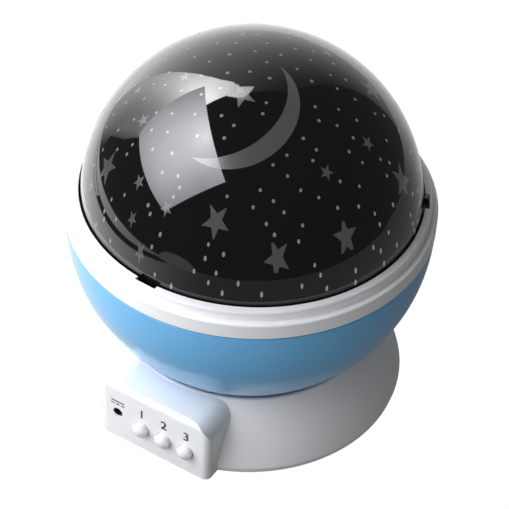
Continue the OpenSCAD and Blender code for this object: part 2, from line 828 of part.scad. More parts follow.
module ring_gear() {
    web_cut_r = 4;
    color("#E8E4D8") translate([0, 0, gear_z]) difference() {
        linear_extrude(gear_h) gear_outline(ring_teeth);
        translate([0, 0, -1]) cylinder(r = post_r + free_gap, h = gear_h + 2);
        // round holes lighten the web
        for (a = [30 : 60 : 330]) rotate([0, 0, a])
            translate([(hub_r + ring_pitch_r) / 2, 0, -1]) cylinder(r = web_cut_r, h = gear_h + 2);
        for (a = gear_screw_az) rotate([0, 0, a]) translate([gear_screw_r, 0, -1])
            cylinder(r = flush_head_r + 0.1, h = gear_h + 2);
    }
}

module gear_screws() {
    color(steel) for (a = gear_screw_az) rotate([0, 0, a])
        translate([gear_screw_r, 0, gear_z + 0.2])
            flush_screw(gear_h + 5, small_screw_r, flush_head_r);
}

module thrust_washer() {
    color("#E8E4D8") translate([0, 0, deck_top]) tube(hub_r + 6, hub_r + 0.6, washer_t);
}

// ---- Lamp ----

module post() {
    color(white_abs) difference() {
        translate([0, 0, bay_top]) {
            cylinder(r = post_flange_r, h = post_flange_t);
            cylinder(r = post_r, h = post_top - bay_top);
        }
        translate([0, 0, bay_top - 1]) cylinder(r = post_r - post_wall, h = post_top);
        translate([-3, -post_flange_r - 1, bay_top - 1])
            cube([6, post_flange_r + 1, post_flange_t + 1]);
        for (side = [-1, 1]) translate([side * post_screw_x, 0, bay_top - 1])
            cylinder(r = flush_head_r + 0.1, h = 4);
    }
}

module post_screws() {
    color(steel) for (side = [-1, 1])
        translate([side * post_screw_x, 0, bay_top + post_flange_t - 0.1])
            mirror([0, 0, 1]) flush_screw(3.2, small_screw_r, flush_head_r);
}

module led_wires() {
    run = board_y + board_t;
    rise = post_top + holder_t - wire_z - wire_bend;
    color("#B3261E") for (side = [-1, 1]) translate([side * wire_x, 0, 0]) {
        translate([0, -wire_bend, wire_z]) rotate([90, 0, 0])
            cylinder(r = wire_r, h = -run - wire_bend);
        translate([0, -wire_bend, wire_z + wire_bend]) rotate([0, 90, 0])
            rotate_extrude(angle = 90) translate([wire_bend, 0]) circle(r = wire_r, $fn = 24);
        translate([0, 0, wire_z + wire_bend]) cylinder(r = wire_r, h = rise);
    }
}

module led_holder() {
    color(white_abs) difference() {
        translate([0, 0, post_top]) {
            cylinder(r = led_board_r + 0.5, h = holder_t);
            translate([0, 0, -4]) cylinder(r = post_r - post_wall - 0.05, h = 4 + eps);
        }
        translate([0, 0, post_top - 5]) cylinder(r = 2.6, h = 10);
    }
}

board_lamp_z = post_top + holder_t;
led_az = [45, 135, 225, 315];

module led_board() {
    color("#F4F4EE") translate([0, 0, board_lamp_z])
        cylinder(r = led_board_r, h = lamp_board_t);
}

module led(k, tint) {
    color(tint) rotate([0, 0, led_az[k]])
        translate([led_ring_r, 0, board_lamp_z + lamp_board_t]) {
            cylinder(r = led_r + 0.4, h = 1);
            cylinder(r = led_r, h = led_h - led_r);
            translate([0, 0, led_h - led_r]) sphere(r = led_r);
        }
}

// ---- Turning head ----

module bowl() {
    top = seam_z - seam_gap;
    edge_r = sqrt(pow(bowl_r, 2) - pow(top - bowl_cz, 2));
    floor_t = 2.2;
    hub_top = bowl_z + hub_h;
    boss_top = flange_z;
    boss_foot = bowl_cz - sqrt(pow(bowl_in_r, 2) - pow(plate_screw_r - boss_r, 2));
    rib_h = 8;
    color(blue_abs) difference() {
        union() {
            rotate_extrude($fn = 180) union() {
                intersection() {
                    difference() {
                        translate([0, bowl_cz]) circle(r = bowl_r, $fn = 180);
                        translate([0, bowl_cz]) circle(r = bowl_in_r, $fn = 180);
                    }
                    union() {
                        band(bowl_z, top - bowl_round);
                        band(bowl_z, top, edge_r - bowl_round);
                        translate([edge_r - bowl_round, top - bowl_round])
                            circle(r = bowl_round, $fn = 48);
                    }
                }
                band(bowl_z, bowl_z + floor_t, bowl_flat_r);
            }
            translate([0, 0, gear_top]) cylinder(r = hub_r, h = hub_top - gear_top);
            // bosses for the ring's screws, each tied to the wall by a rib
            intersection() {
                union() for (a = plate_screw_az) rotate([0, 0, a]) {
                    translate([plate_screw_r, 0, boss_foot - 4])
                        cylinder(r = boss_r, h = boss_top - boss_foot + 4);
                    translate([plate_screw_r, -0.8, boss_foot - 4])
                        cube([bowl_r - plate_screw_r, 1.6, boss_top - boss_foot - 2]);
                }
                translate([0, 0, bowl_cz]) sphere(r = bowl_r - 0.5, $fn = 180);
            }
            // ribs that brace the hub
            for (a = [0 : 60 : 300]) rotate([0, 0, a]) translate([0, 0.8, bowl_z + floor_t - 0.5])
                rotate([90, 0, 0]) linear_extrude(1.6)
                    polygon([[hub_r - 1, 0], [hub_r + 14, 0], [hub_r - 1, rib_h]]);
        }
        translate([0, 0, gear_top - 1]) cylinder(r = post_r + run_fit, h = head_r);
        for (a = plate_screw_az) rotate([0, 0, a]) translate([plate_screw_r, 0, boss_top - 10])
            cylinder(r = screw_r + thread_gap, h = 12);
        for (a = gear_screw_az) rotate([0, 0, a]) translate([gear_screw_r, 0, gear_top - 1])
            cylinder(r = small_screw_r + thread_gap, h = 7);
    }
}

module ring_profile() {
    difference() {
        union() {
            // outer band with a rounded top edge
            translate([spigot_r, seam_z]) square([head_r - spigot_r, band_h - band_round]);
            translate([spigot_r, seam_z])
                square([head_r - spigot_r - band_round, band_h]);
            translate([head_r - band_round, band_top - band_round])
                circle(r = band_round, $fn = 48);
            // upright collar under the lip, rounded on top
            polygon([[lip_r, seam_z + 1], [collar_r, seam_z + 1],
                [collar_r, lip_top - lip_round], [collar_r - lip_round, lip_top],
                [lip_r + lip_edge, lip_top], [lip_r, lip_top - lip_edge]]);
            translate([collar_r - lip_round, lip_top - lip_round])
                circle(r = lip_round, $fn = 48);
            // inner flange and the spigot that enters the bowl
            translate([flange_in_r, flange_z]) square([spigot_r - flange_in_r, flange_t]);
            translate([spigot_r - spigot_t, seam_z - spigot_h])
                square([spigot_t, spigot_h + 1]);
        }
        // room for the dome and its lugs
        translate([0, seat_z]) square([groove_r, groove_top - seat_z]);
        translate([0, seat_z]) square([lip_r, lip_top]);
    }
}

module rim_ring() {
    stop_w = 2;
    stop_turn = lock_turn + (lug_w / 2 + stop_w / 2 + 0.5) / groove_r * 180 / PI;
    color(white_abs) difference() {
        union() {
            rotate_extrude($fn = 180) ring_profile();
            // stops that end the turn of the dome
            intersection() {
                for (k = [0 : 2]) rotate([0, 0, notch_az + 120 * k - stop_turn])
                    translate([lip_r + 0.1, -stop_w / 2, lug_top - lug_h - 1])
                        cube([groove_depth + 0.5, stop_w, lug_h + 2]);
                translate([0, 0, seat_z]) cylinder(r = groove_r + 0.3, h = lip_top);
            }
        }
        for (k = [0 : 2]) rotate([0, 0, notch_az + 120 * k])
            translate([lip_r - 2, -notch_w / 2, lug_top - lug_h - 2])
                cube([groove_depth + 2.1, notch_w, lip_top]);
        for (a = plate_screw_az) rotate([0, 0, a]) translate([plate_screw_r, 0, flange_z - 1])
            cylinder(r = screw_r + through_gap, h = flange_t + 2);
    }
}

// Shallow white dish that closes the bowl round the lamp
module lamp_plate() {
    t = lamp_plate_t;
    flat_in_r = flange_in_r - 1;
    dip = 4.5;
    well_r = lamp_hole_r + 1.6;
    rim_up = 0.4;
    color(white_abs) difference() {
        rotate_extrude() translate([0, seat_z])
            polygon([[lamp_hole_r, -dip], [lamp_hole_r, rim_up], [well_r, rim_up],
                [well_r, -dip + t], [flat_in_r, t], [plate_r, t], [plate_r, 0],
                [flat_in_r, 0], [well_r, -dip]]);
        for (a = plate_screw_az) rotate([0, 0, a]) translate([plate_screw_r, 0, seat_z - 1])
            cylinder(r = screw_r + through_gap, h = t + 2);
    }
}

module plate_screws() {
    head_h = 1.2;
    color(steel) for (a = plate_screw_az) rotate([0, 0, a])
        translate([plate_screw_r, 0, seat_z + lamp_plate_t + head_h])
            mirror([0, 0, 1]) pan_screw(lamp_plate_t + flange_t + 7, head_h = head_h);
}

module dome_gasket() {
    color(black_abs) translate([0, 0, seat_z])
        tube(groove_r - 0.6, dome_r - dome_wall - ledge_t, gasket_t);
}

// Clear dome with a straight skirt and three lugs
module dome_shell() {
    color(black_pc) union() {
        rotate_extrude($fn = 180) union() {
            intersection() {
                difference() {
                    translate([0, dome_cz]) circle(r = dome_r, $fn = 180);
                    translate([0, dome_cz]) circle(r = dome_r - dome_wall, $fn = 180);
                }
                band(dome_cz, dome_cz + dome_r);
            }
            translate([dome_r - dome_wall, skirt_z]) square([dome_wall, dome_cz - skirt_z]);
            translate([dome_r - dome_wall - ledge_t, skirt_z])
                square([ledge_t + 0.1, dome_cz - seat_gap - skirt_z]);
        }
        intersection() {
            for (k = [0 : 2]) rotate([0, 0, notch_az + 120 * k])
                translate([dome_r - 1, -lug_w / 2, lug_top - lug_h])
                    cube([lug_r - dome_r + 2, lug_w, lug_h]);
            difference() {
                translate([0, 0, skirt_z]) cylinder(r = lug_r, h = 20);
                translate([0, 0, skirt_z - 1]) cylinder(r = dome_r - 0.5, h = 22);
            }
        }
    }
}

module star_outline(r) {
    polygon([for (k = [0 : 9]) polar(k % 2 == 0 ? r : r * star_waist, 36 * k)]);
}

// Cuts its children through the mask at a place on the dome. The cut leans from
// square to the wall towards straight up, which draws the window out downwards.
module window_at(az, pol, depth = 8) {
    lean = acos(1 / drawn(pol));
    translate([0, 0, dome_cz]) rotate([0, 0, az]) rotate([0, pol, 0])
        translate([0, 0, mask_r]) rotate([0, -lean, 0])
            translate([0, 0, -depth / 2]) linear_extrude(depth) children();
}

// Black layer inside the dome, with windows that throw the stars
module star_mask() {
    color("#242424") difference() {
        rotate_extrude($fn = 180) intersection() {
            difference() {
                translate([0, dome_cz]) circle(r = mask_r, $fn = 180);
                translate([0, dome_cz]) circle(r = mask_in_r, $fn = 180);
            }
            band(dome_cz, dome_cz + dome_r);
        }
        for (s = stars) window_at(s[0], s[1])
            rotate([0, 0, 180 + s[3]]) star_outline(s[2]);
        for (d = dots) window_at(d[0], d[1], 5) circle(r = dot_r, $fn = 16);
        translate([moon_c[0], moon_c[1], dome_cz + dome_r - 30]) linear_extrude(40)
            difference() {
                circle(r = moon_r);
                translate(moon_shift * [cos(moon_back), sin(moon_back)])
                    circle(r = moon_cut_r);
            }
    }
}

base_shell();
bottom_cover();
battery_door();
door_screw();
rubber_feet();
case_screws();
contact_springs();
contact_plates();
control_board();
tact_switches();
control_chip();
capacitor();
dc_jack();
dc_jack_pin();
button(1);  // button_1
button(2);  // button_2
button(3);  // button_3
switch_stem(1);  // switch_stem_1
switch_stem(2);  // switch_stem_2
switch_stem(3);  // switch_stem_3
gearbox();
motor_can();
motor_screws();
motor_shaft();
drive_pinion();
ring_gear();
gear_screws();
thrust_washer();
post();
post_screws();
led_wires();
led_holder();
led_board();
led(0, "#FFF6DC");  // led_white
led(1, "#E24A3B");  // led_red
led(2, "#57C46B");  // led_green
led(3, "#4A7BE0");  // led_blue
bowl();
rim_ring();
lamp_plate();
plate_screws();
dome_gasket();
dome_shell();
star_mask();
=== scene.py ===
"""Look of a star night light projector: finishes, star windows, panel marks and studio.

Every length is in metres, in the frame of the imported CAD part: +Z up, the
controls facing -Y, the origin on the axis where the feet stand. A direction is
its degrees from +X and its degrees above the horizon.
"""

import json
import logging
import math
from collections import defaultdict
from dataclasses import dataclass, field
from enum import Enum

import bmesh
import bpy
from mathutils import Matrix, Vector
from mathutils.geometry import tessellate_polygon

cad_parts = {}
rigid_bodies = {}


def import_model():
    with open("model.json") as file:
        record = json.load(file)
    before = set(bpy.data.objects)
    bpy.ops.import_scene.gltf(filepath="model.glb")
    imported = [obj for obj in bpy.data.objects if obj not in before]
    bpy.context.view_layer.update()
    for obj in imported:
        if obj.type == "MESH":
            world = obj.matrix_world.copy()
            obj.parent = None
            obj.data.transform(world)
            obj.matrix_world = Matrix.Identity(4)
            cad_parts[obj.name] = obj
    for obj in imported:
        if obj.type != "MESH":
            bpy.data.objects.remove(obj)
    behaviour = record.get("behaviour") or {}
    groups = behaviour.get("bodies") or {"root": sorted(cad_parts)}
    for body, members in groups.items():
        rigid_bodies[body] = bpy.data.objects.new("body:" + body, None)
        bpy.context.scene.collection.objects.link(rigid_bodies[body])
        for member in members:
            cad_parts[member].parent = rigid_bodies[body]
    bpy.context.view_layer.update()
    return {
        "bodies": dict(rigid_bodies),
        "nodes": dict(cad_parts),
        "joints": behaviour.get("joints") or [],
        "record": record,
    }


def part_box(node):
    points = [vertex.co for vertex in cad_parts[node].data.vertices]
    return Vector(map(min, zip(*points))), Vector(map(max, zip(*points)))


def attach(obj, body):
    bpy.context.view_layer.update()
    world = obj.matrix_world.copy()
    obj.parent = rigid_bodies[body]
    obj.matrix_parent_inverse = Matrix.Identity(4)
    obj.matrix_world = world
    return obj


log = logging.getLogger("star_lamp")

MM = 0.001
UM = 1e-6
SEED = 7
UP = Vector((0, 0, 1))
WHITE = (1.0, 1.0, 1.0)

Outline = list[Vector]


class Slot(str, Enum):
    """Material slots of the record that get a finish here."""

    WHITE_ABS = "white_abs"
    BLUE_ABS = "blue_abs"
    DOME_BLACK = "dome_black"
    MASK_BLACK = "mask_black"
    BLACK_RUBBER = "black_rubber"
    GREY_RUBBER = "grey_rubber"
    WHITE_BUTTON = "white_button"
    BLACK_PLASTIC = "black_plastic"
    WHITE_POM = "white_pom"
    BOARD_GREEN = "board_green"
    BOARD_WHITE = "board_white"
    CAPACITOR_BLUE = "capacitor_blue"
    WIRE_RED = "wire_red"
    SCREW_STEEL = "screw_steel"
    MOTOR_STEEL = "motor_steel"
    CONTACT_NICKEL = "contact_nickel"
    LED_WHITE = "led_white"
    LED_RED = "led_red"
    LED_GREEN = "led_green"
    LED_BLUE = "led_blue"


def linear(code: str) -> tuple[float, float, float]:
    """Turns an sRGB hex code into linear light.

    Args:
        code: Six hex digits after a hash sign.

    Returns:
        Linear red, green and blue.
    """
    channels = [int(code[i : i + 2], 16) / 255 for i in (1, 3, 5)]
    lin = [c / 12.92 if c <= 0.04045 else ((c + 0.055) / 1.055) ** 2.4 for c in channels]
    return lin[0], lin[1], lin[2]


def towards(azimuth: float, elevation: float) -> Vector:
    """Unit vector for a direction in degrees from +X and above the horizon."""
    a, e = math.radians(azimuth), math.radians(elevation)
    return Vector((math.cos(e) * math.cos(a), math.cos(e) * math.sin(a), math.sin(e)))


def empty_tree(owner: bpy.types.Material | bpy.types.World) -> bpy.types.NodeTree:
    """Gives the node tree of a material or world, without its default nodes.

    Args:
        owner: The new material or world.

    Returns:
        Its empty tree.
    """
    owner.use_nodes = True
    owner.node_tree.nodes.clear()
    return owner.node_tree


def add_node(
    tree: bpy.types.NodeTree,
    kind: str,
    inputs: dict[str | int, object] | None = None,
    **settings: object,
) -> bpy.types.Node:
    """Adds a node with its settings, its fixed inputs and its links.

    Args:
        tree: The tree that gets the node.
        kind: Blender's name for this type of node.
        inputs: For an input's name or number, its value or the output that feeds it.
        **settings: The node's own properties, such as its operation.

    Returns:
        The new node.
    """
    node = tree.nodes.new(kind)
    for name, value in settings.items():
        setattr(node, name, value)
    for socket, value in (inputs or {}).items():
        if isinstance(value, bpy.types.NodeSocket):
            tree.links.new(value, node.inputs[socket])
        else:
            node.inputs[socket].default_value = value
    return node


def mesh_object(
    name: str, mesh: bpy.types.Mesh, material: bpy.types.Material
) -> bpy.types.Object:
    """Links a mesh into the scene at the origin, with one material.

    Args:
        name: Name of the new object.
        mesh: Its mesh, in the part's frame.
        material: Its material.

    Returns:
        The new object.
    """
    mesh.materials.clear()
    mesh.materials.append(material)
    obj = bpy.data.objects.new(name, mesh)
    bpy.context.scene.collection.objects.link(obj)
    return obj


def drawn_mesh(name: str, bm: bmesh.types.BMesh) -> bpy.types.Mesh:
    """Turns a drawn mesh into a named one and frees it.

    Args:
        name: Name of the new mesh.
        bm: The drawn mesh.

    Returns:
        The new mesh.
    """
    mesh = bpy.data.meshes.new(name)
    bm.to_mesh(mesh)
    bm.free()
    return mesh


@dataclass(frozen=True)
class Finish:
    """How a surface looks, and how far it varies from place to place.

    tint_mm, rough_mm and bump_mm give the size of one blotch or grain of the pattern
    that moves the colour, the roughness and the height, and brush squeezes these
    patterns along the axes. glow is a painted glow for parts that are no lamp, and
    glow_top is that painted glow at the top of the star layer where it differs
    from that at its foot. bare_foot gives the heights over the dome's foot between which
    the full gloss sets in.
    """

    name: str
    colour: str
    roughness: float = 0.4
    metallic: float = 0.0
    ior: float = 1.5
    specular: float = 0.5
    coat: float = 0.0
    coat_roughness: float = 0.03
    coat_ior: float = 1.5
    subsurface: float = 0.0
    subsurface_mm: float = 1.0
    transmission: float = 0.0
    glow: float = 0.0
    glow_top: float | None = None
    bare_foot: tuple[float, float] | None = None
    tint_shift: float = 0.04
    tint_mm: float = 16.7
    rough_shift: float = 0.05
    rough_mm: float = 5.56
    bump_um: float = 0.0
    bump_mm: float = 0.4
    brush: tuple[float, float, float] = (1.0, 1.0, 1.0)


FINISHES: dict[Slot, Finish] = {
    # Polished ABS: bright white with clean but slightly soft reflections
    Slot.WHITE_ABS: Finish(
        "ABS_white", "#EDEDEF", roughness=0.2, ior=1.53, coat=0.25, coat_roughness=0.08,
        subsurface=0.12, subsurface_mm=0.8, tint_shift=0.012, bump_um=3.0, bump_mm=1.11,
    ),
    # The same resin with sky-blue pigment: a saturated body under a white sheen
    Slot.BLUE_ABS: Finish(
        "ABS_sky_blue", "#6EB4E4", roughness=0.24, ior=1.53, coat=0.25, coat_roughness=0.1,
        subsurface=0.1, subsurface_mm=0.8, tint_shift=0.02, bump_um=3.0, bump_mm=1.11,
    ),
    # Clear polycarbonate over black: both faces of the wall mirror the studio, so its
    # highlights are twice as strong as on a single skin and the rest stays black. The
    # foot, where the wall is thick, mirrors less, so the ring's lip does not repeat in it
    Slot.DOME_BLACK: Finish(
        "PC_gloss_black", "#060606", roughness=0.03, ior=1.585, coat=1.0, coat_ior=1.585,
        bare_foot=(7.4 * MM, 9.6 * MM), tint_shift=0.0, rough_shift=0.012, rough_mm=28.6,
    ),
    # Screen-printed matt black: swallows the lamp's light
    Slot.MASK_BLACK: Finish(
        "ink_matt_black", "#141414", roughness=0.75, tint_shift=0.02, bump_um=6.0,
        bump_mm=0.286,
    ),
    # Silicone seal: dull black with a faint bloom
    Slot.BLACK_RUBBER: Finish(
        "silicone_black", "#1A1A1A", roughness=0.55, ior=1.41, tint_shift=0.05,
        bump_um=8.0, bump_mm=0.455,
    ),
    # Thermoplastic rubber feet: grey and dry, so the lamp looks as if it grips
    Slot.GREY_RUBBER: Finish(
        "TPR_grey", "#4A4A4A", roughness=0.7, ior=1.48, tint_shift=0.08, bump_um=12.0,
        bump_mm=0.556,
    ),
    # Button caps: the housing's white, moulded a little smoother
    Slot.WHITE_BUTTON: Finish(
        "ABS_white_button", "#EAEAEC", roughness=0.18, ior=1.53, coat=0.3,
        coat_roughness=0.06, subsurface=0.15, subsurface_mm=0.6, tint_shift=0.01,
    ),
    # Glass-filled nylon: dull, slightly speckled black
    Slot.BLACK_PLASTIC: Finish(
        "PA66_black", "#191919", roughness=0.5, ior=1.53, tint_shift=0.1, tint_mm=1.11,
        bump_um=5.0,
    ),
    # Natural acetal: waxy off-white, as cheap gears are
    Slot.WHITE_POM: Finish(
        "POM_natural", "#E6E2D4", roughness=0.38, ior=1.48, subsurface=0.3,
        subsurface_mm=1.2, tint_shift=0.02,
    ),
    # Solder mask over copper: green with a thin clear layer
    Slot.BOARD_GREEN: Finish(
        "FR4_green", "#1F6A3C", roughness=0.35, coat=0.5, coat_roughness=0.12,
        tint_shift=0.15, tint_mm=2.5, bump_um=10.0, bump_mm=1.43,
    ),
    # White solder mask: the lamp board throws light upwards
    Slot.BOARD_WHITE: Finish(
        "FR4_white", "#ECECE4", roughness=0.35, coat=0.4, coat_roughness=0.12,
        tint_shift=0.03,
    ),
    # Shrunk PVC sleeve of the capacitor: dark blue and shiny
    Slot.CAPACITOR_BLUE: Finish("PVC_sleeve_blue", "#22386F", roughness=0.25, coat=0.3),
    # PVC wire insulation: soft red sheen
    Slot.WIRE_RED: Finish("PVC_red", "#A5231C", roughness=0.4, subsurface=0.1),
    # Zinc-plated screws: grey-blue metal with fine turning marks
    Slot.SCREW_STEEL: Finish(
        "steel_zinc_plated", "#B9BDC4", roughness=0.3, metallic=1.0, rough_shift=0.12,
        rough_mm=1.11, bump_um=4.0, brush=(1.0, 1.0, 9.0),
    ),
    # Drawn steel can: brushed along its height
    Slot.MOTOR_STEEL: Finish(
        "steel_drawn", "#AFB1B5", roughness=0.34, metallic=1.0, rough_shift=0.15,
        rough_mm=2.0, bump_um=4.0, brush=(6.0, 6.0, 0.4),
    ),
    # Nickel on spring steel: bright, a little yellow
    Slot.CONTACT_NICKEL: Finish(
        "nickel_plated", "#CBC7BD", roughness=0.2, metallic=1.0, rough_shift=0.08,
    ),
    # Clear epoxy over yellow phosphor
    Slot.LED_WHITE: Finish(
        "epoxy_clear", "#FBF1C6", roughness=0.06, ior=1.54, transmission=0.35, subsurface=0.2,
    ),
    # Tinted epoxies: glassy and saturated
    Slot.LED_RED: Finish(
        "epoxy_red", "#D63A2C", roughness=0.06, ior=1.54, transmission=0.35,
    ),
    Slot.LED_GREEN: Finish(
        "epoxy_green", "#45B85C", roughness=0.06, ior=1.54, transmission=0.35,
    ),
    Slot.LED_BLUE: Finish(
        "epoxy_blue", "#3C6CD8", roughness=0.06, ior=1.54, transmission=0.35,
    ),
}

# Satin inner face of the clear dome where the black is left out. A painted glow stands
# in for the light it gathers from the white inside, so it shows a soft grey from every side.
WINDOW = Finish(
    "PC_satin_window_painted_glow", "#2A2A2A", roughness=0.25, ior=1.585, specular=1.0, coat=1.0,
    coat_ior=1.585, glow=0.036, tint_shift=0.06, tint_mm=4.55, rough_shift=0.03,
)
# The small round windows get a painted glow, stronger low on the dome than near its top
DOT_WINDOW = Finish(
    "PC_satin_dot_painted_glow", "#3A3A3A", roughness=0.25, ior=1.585, specular=1.0, coat=1.0,
    coat_ior=1.585, glow=0.2, glow_top=0.09, tint_shift=0.2, tint_mm=4.55,
    rough_shift=0.03,
)
# Pad-printed marks: thin dark grey ink that follows the plastic's gloss
MARK_INK = Finish("ink_grey", "#303238", roughness=0.35, tint_shift=0.08, tint_mm=0.667)


class MaterialLibrary:
    """Builds each finish once, as a node material on object coordinates."""

    TINT_DETAIL = 3.0
    ROUGH_DETAIL = 4.0
    BUMP_DETAIL = 2.0
    BUMP_STRENGTH = 0.35
    # Red light goes a little deeper into the white plastics than blue
    SCATTER = (1.0, 0.9, 0.8)
    # The gloss that the dome's thick foot keeps, where a plain surface has 0.5
    FOOT_SPECULAR = 0.25

    def __init__(self) -> None:
        """Starts with no materials made."""
        self._made: dict[str, bpy.types.Material] = {}

    def get(self, finish: Finish) -> bpy.types.Material:
        """Gives the material of a finish.

        Args:
            finish: The finish to build or look up.

        Returns:
            The Blender material.
        """
        if finish.name not in self._made:
            self._made[finish.name] = self._build(finish)
        return self._made[finish.name]

    def _build(self, finish: Finish) -> bpy.types.Material:
        """Makes a finish's shader with its uneven tint and gloss and its grain.

        Args:
            finish: The finish to build.

        Returns:
            The new material.
        """
        material = bpy.data.materials.new(finish.name)
        tree = empty_tree(material)
        place = add_node(tree, "ShaderNodeTexCoord").outputs["Object"]
        along = add_node(tree, "ShaderNodeMapping", {
            "Vector": place, "Scale": finish.brush,
        }).outputs["Vector"]
        tint = add_node(tree, "ShaderNodeTexNoise", {
            "Vector": along, "Scale": 1 / (finish.tint_mm * MM), "Detail": self.TINT_DETAIL,
        })
        colour = add_node(tree, "ShaderNodeMix", {
            "Factor": tint.outputs["Fac"],
            "A": (*(c * (1 - finish.tint_shift) for c in linear(finish.colour)), 1.0),
            "B": (*(min(1.0, c * (1 + finish.tint_shift)) for c in linear(finish.colour)), 1.0),
        }, data_type="RGBA")
        wear = add_node(tree, "ShaderNodeTexNoise", {
            "Vector": along, "Scale": 1 / (finish.rough_mm * MM), "Detail": self.ROUGH_DETAIL,
        })
        rough = add_node(tree, "ShaderNodeMapRange", {
            "Value": wear.outputs["Fac"],
            "To Min": max(0.0, finish.roughness - finish.rough_shift),
            "To Max": min(1.0, finish.roughness + finish.rough_shift),
        })
        shader = add_node(tree, "ShaderNodeBsdfPrincipled", {
            "Base Color": colour.outputs["Result"],
            "Roughness": rough.outputs["Result"],
            "Metallic": finish.metallic,
            "IOR": finish.ior,
            "Specular IOR Level": finish.specular,
            "Coat Weight": finish.coat,
            "Coat Roughness": finish.coat_roughness,
            "Coat IOR": finish.coat_ior,
            "Subsurface Weight": finish.subsurface,
            "Subsurface Scale": finish.subsurface_mm * MM,
            "Subsurface Radius": self.SCATTER,
            "Transmission Weight": finish.transmission,
            "Emission Color": (*WHITE, 1.0),
            # A finish's emission is painted glow: no finish that has one is a lamp
            "Emission Strength": finish.glow,
        })
        add_node(tree, "ShaderNodeOutputMaterial", {"Surface": shader.outputs["BSDF"]})
        if finish.bump_um > 0:
            grain = add_node(tree, "ShaderNodeTexNoise", {
                "Vector": along, "Scale": 1 / (finish.bump_mm * MM), "Detail": self.BUMP_DETAIL,
            })
            bump = add_node(tree, "ShaderNodeBump", {
                "Height": grain.outputs["Fac"],
                "Strength": self.BUMP_STRENGTH,
                "Distance": finish.bump_um * UM,
            })
            tree.links.new(bump.outputs["Normal"], shader.inputs["Normal"])
        # The painted glow changes with height over the star layer
        if finish.glow_top is not None:
            low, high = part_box("star_mask")
            self._by_height(
                tree, shader.inputs["Emission Strength"], (low.z, high.z),
                (finish.glow, finish.glow_top), "SMOOTHSTEP",
            )
        if finish.bare_foot is not None:
            low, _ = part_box("dome_shell")
            start, end = (low.z + height for height in finish.bare_foot)
            for name, least in (("Coat Weight", 0.0), ("Specular IOR Level", self.FOOT_SPECULAR)):
                socket = shader.inputs[name]
                self._by_height(tree, socket, (start, end), (least, socket.default_value))
        return material

    @staticmethod
    def _by_height(
        tree: bpy.types.NodeTree,
        socket: bpy.types.NodeSocket,
        heights: tuple[float, float],
        values: tuple[float, float],
        interpolation: str = "LINEAR",
    ) -> None:
        """Runs an input from one value to another between two heights.

        Args:
            tree: The material's tree.
            socket: The input to feed.
            heights: Where the change starts and ends.
            values: The input's values below and above.
            interpolation: How the value goes from one to the other.
        """
        place = add_node(tree, "ShaderNodeTexCoord")
        split = add_node(tree, "ShaderNodeSeparateXYZ", {"Vector": place.outputs["Object"]})
        fade = add_node(tree, "ShaderNodeMapRange", {
            "Value": split.outputs["Z"],
            "From Min": heights[0], "From Max": heights[1],
            "To Min": values[0], "To Max": values[1],
        }, interpolation_type=interpolation)
        tree.links.new(fade.outputs["Result"], socket)


@dataclass
class CadFinishes:
    """Gives every CAD node the finish of its slot."""

    library: MaterialLibrary
    nodes: dict[str, bpy.types.Object]
    record: dict

    def build(self) -> list[bpy.types.Object]:
        """Replaces each node's flat colour with its finish.

        Returns:
            The nodes' objects.
        """
        slots = {s["node"]: s["material_slot"] for s in self.record["subparts"]}
        for name, obj in self.nodes.items():
            obj.data.materials.clear()
            obj.data.materials.append(self.library.get(FINISHES[Slot(slots[name])]))
        return list(self.nodes.values())


